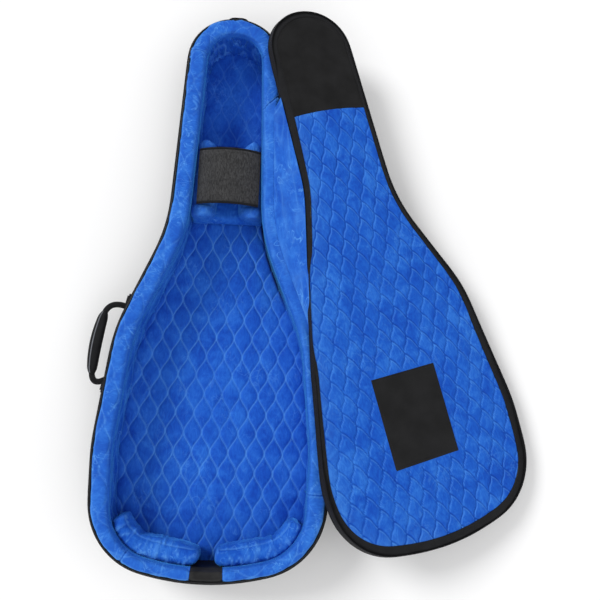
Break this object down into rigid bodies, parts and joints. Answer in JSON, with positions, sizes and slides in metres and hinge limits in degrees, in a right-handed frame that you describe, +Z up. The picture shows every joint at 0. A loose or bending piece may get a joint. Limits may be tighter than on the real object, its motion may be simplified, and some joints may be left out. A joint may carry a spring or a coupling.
{
  "type": "padded gig bag",
  "caption": "Padded semi-hollow guitar gig bag lying open: deep blue quilted base with neck cradle and strap, hinged padded lid, carry handle, zips and rings.",
  "frame": {"origin": "on the floor under the middle of the back panel's length and width", "axes": "+Y to the head end along the bag, +X to the hinge side, +Z up out of the open base"},
  "size_m": [0.9318, 1.2023, 0.1553],
  "materials": {
    "blue_velvet": "bright blue crushed velvet, quilted over padding",
    "black_nylon": "black woven ballistic nylon, matt",
    "black_vinyl": "smooth black abrasion panel with a fine grain",
    "foam": "closed-cell padding foam, hidden",
    "black_webbing": "black woven webbing",
    "black_felt": "black loop felt",
    "piping": "black extruded piping, satin",
    "zip_coil": "black coil zip on woven tape",
    "black_metal": "black plated zip sliders and rings, semi-gloss"
  },
  "bodies": {
    "base": {"back_panel": "black_nylon", "back_foam": "foam", "side_wall": "black_nylon", "wall_foam": "foam", "back_piping": "piping", "base_piping": "piping", "base_zip": "zip_coil", "floor_lining": "blue_velvet", "head_floor_pad": "blue_velvet", "wall_lining_head": "blue_velvet", "wall_lining_right_upper": "blue_velvet", "wall_lining_right": "blue_velvet", "wall_lining_tail_right": "blue_velvet", "endpin_shield": "black_vinyl", "wall_lining_tail_left": "blue_velvet", "wall_lining_left": "blue_velvet", "bumper_left": "blue_velvet", "bumper_right": "blue_velvet", "neck_cradle": "blue_velvet", "strap_anchor": "black_felt", "strap_hook_patch": "black_felt", "hinge_web_base": "blue_velvet", "handle_anchor_upper": "black_webbing", "handle_anchor_lower": "black_webbing", "ring_tab_left": "black_webbing", "ring_tab_right": "black_webbing", "hang_loop": "black_webbing"},
    "lid": {"hinge_web_lid": "blue_velvet", "lid_gusset": "black_nylon", "lid_outer_panel": "black_nylon", "lid_foam": "foam", "lid_head_panel": "black_vinyl", "lid_lining": "blue_velvet", "lid_piping_inner": "piping", "lid_piping_outer": "piping", "lid_zip": "zip_coil", "bridge_patch": "black_vinyl", "pocket_panel": "black_nylon", "pocket_gusset": "black_nylon", "pocket_zip": "zip_coil"},
    "neck_strap": {"neck_strap": "black_felt", "strap_binding_lower": "black_webbing", "strap_binding_upper": "black_webbing"},
    "carry_handle": {"handle_grip": "black_nylon", "handle_webbing_upper": "black_webbing", "handle_webbing_lower": "black_webbing"},
    "zip_slider_upper": {"zip_slider_upper": "black_metal"},
    "zip_pull_upper": {"zip_pull_upper": "black_metal"},
    "zip_slider_lower": {"zip_slider_lower": "black_metal"},
    "zip_pull_lower": {"zip_pull_lower": "black_metal"},
    "pocket_slider": {"pocket_slider": "black_metal"},
    "pocket_pull": {"pocket_pull": "black_metal"},
    "d_ring_left": {"d_ring_left": "black_metal"},
    "d_ring_right": {"d_ring_right": "black_metal"}
  },
  "joints": [
    {"name": "lid_hinge", "type": "hinge", "parent": "base", "child": "lid", "pos_m": [0.1625, 0, 0.141], "axis": [-0.157, 0.9876, 0], "range_deg": [-195.23, 0]},
    {"name": "neck_strap_lift", "type": "hinge", "parent": "base", "child": "neck_strap", "pos_m": [-0.066, 0.232, 0.101], "axis": [0, -1, 0], "range_deg": [0, 70]},
    {"name": "carry_handle_swing", "type": "hinge", "parent": "base", "child": "carry_handle", "pos_m": [-0.194, -0.034, 0.065], "axis": [0.2066, 0.9784, 0], "range_deg": [-60, 80]},
    {"name": "upper_slider_travel", "type": "slide", "parent": "base", "child": "zip_slider_upper", "axis": [-0.0446, 0.999, 0], "range_m": [0, 0.085]},
    {"name": "upper_pull_swing", "type": "hinge", "parent": "zip_slider_upper", "child": "zip_pull_upper", "pos_m": [0.11275, 0.3924, 0.1085], "axis": [0.0446, -0.999, 0], "range_deg": [0, 75]},
    {"name": "lower_slider_travel", "type": "slide", "parent": "base", "child": "zip_slider_lower", "axis": [0.1123, -0.9937, 0], "range_m": [0, 0.12]},
    {"name": "lower_pull_swing", "type": "hinge", "parent": "zip_slider_lower", "child": "zip_pull_lower", "pos_m": [0.22418, -0.16399, 0.1085], "axis": [0.1123, -0.9937, 0], "range_deg": [0, 38]},
    {"name": "pocket_slider_travel", "type": "slide", "parent": "lid", "child": "pocket_slider", "axis": [0.9165, 0.3046, -0.2595], "range_m": [0, 0.16]},
    {"name": "pocket_pull_swing", "type": "hinge", "parent": "pocket_slider", "child": "pocket_pull", "pos_m": [0.24009, -0.00718, 0.0964], "axis": [-0.9165, -0.3046, 0.2595], "range_deg": [-12, 75]},
    {"name": "left_ring_swing", "type": "hinge", "parent": "base", "child": "d_ring_left", "pos_m": [-0.239, -0.43, 0.044], "axis": [0, 1, 0], "range_deg": [0, 150]},
    {"name": "right_ring_swing", "type": "hinge", "parent": "base", "child": "d_ring_right", "pos_m": [0.239, -0.43, 0.044], "axis": [0, -1, 0], "range_deg": [0, 150]}
  ]
}
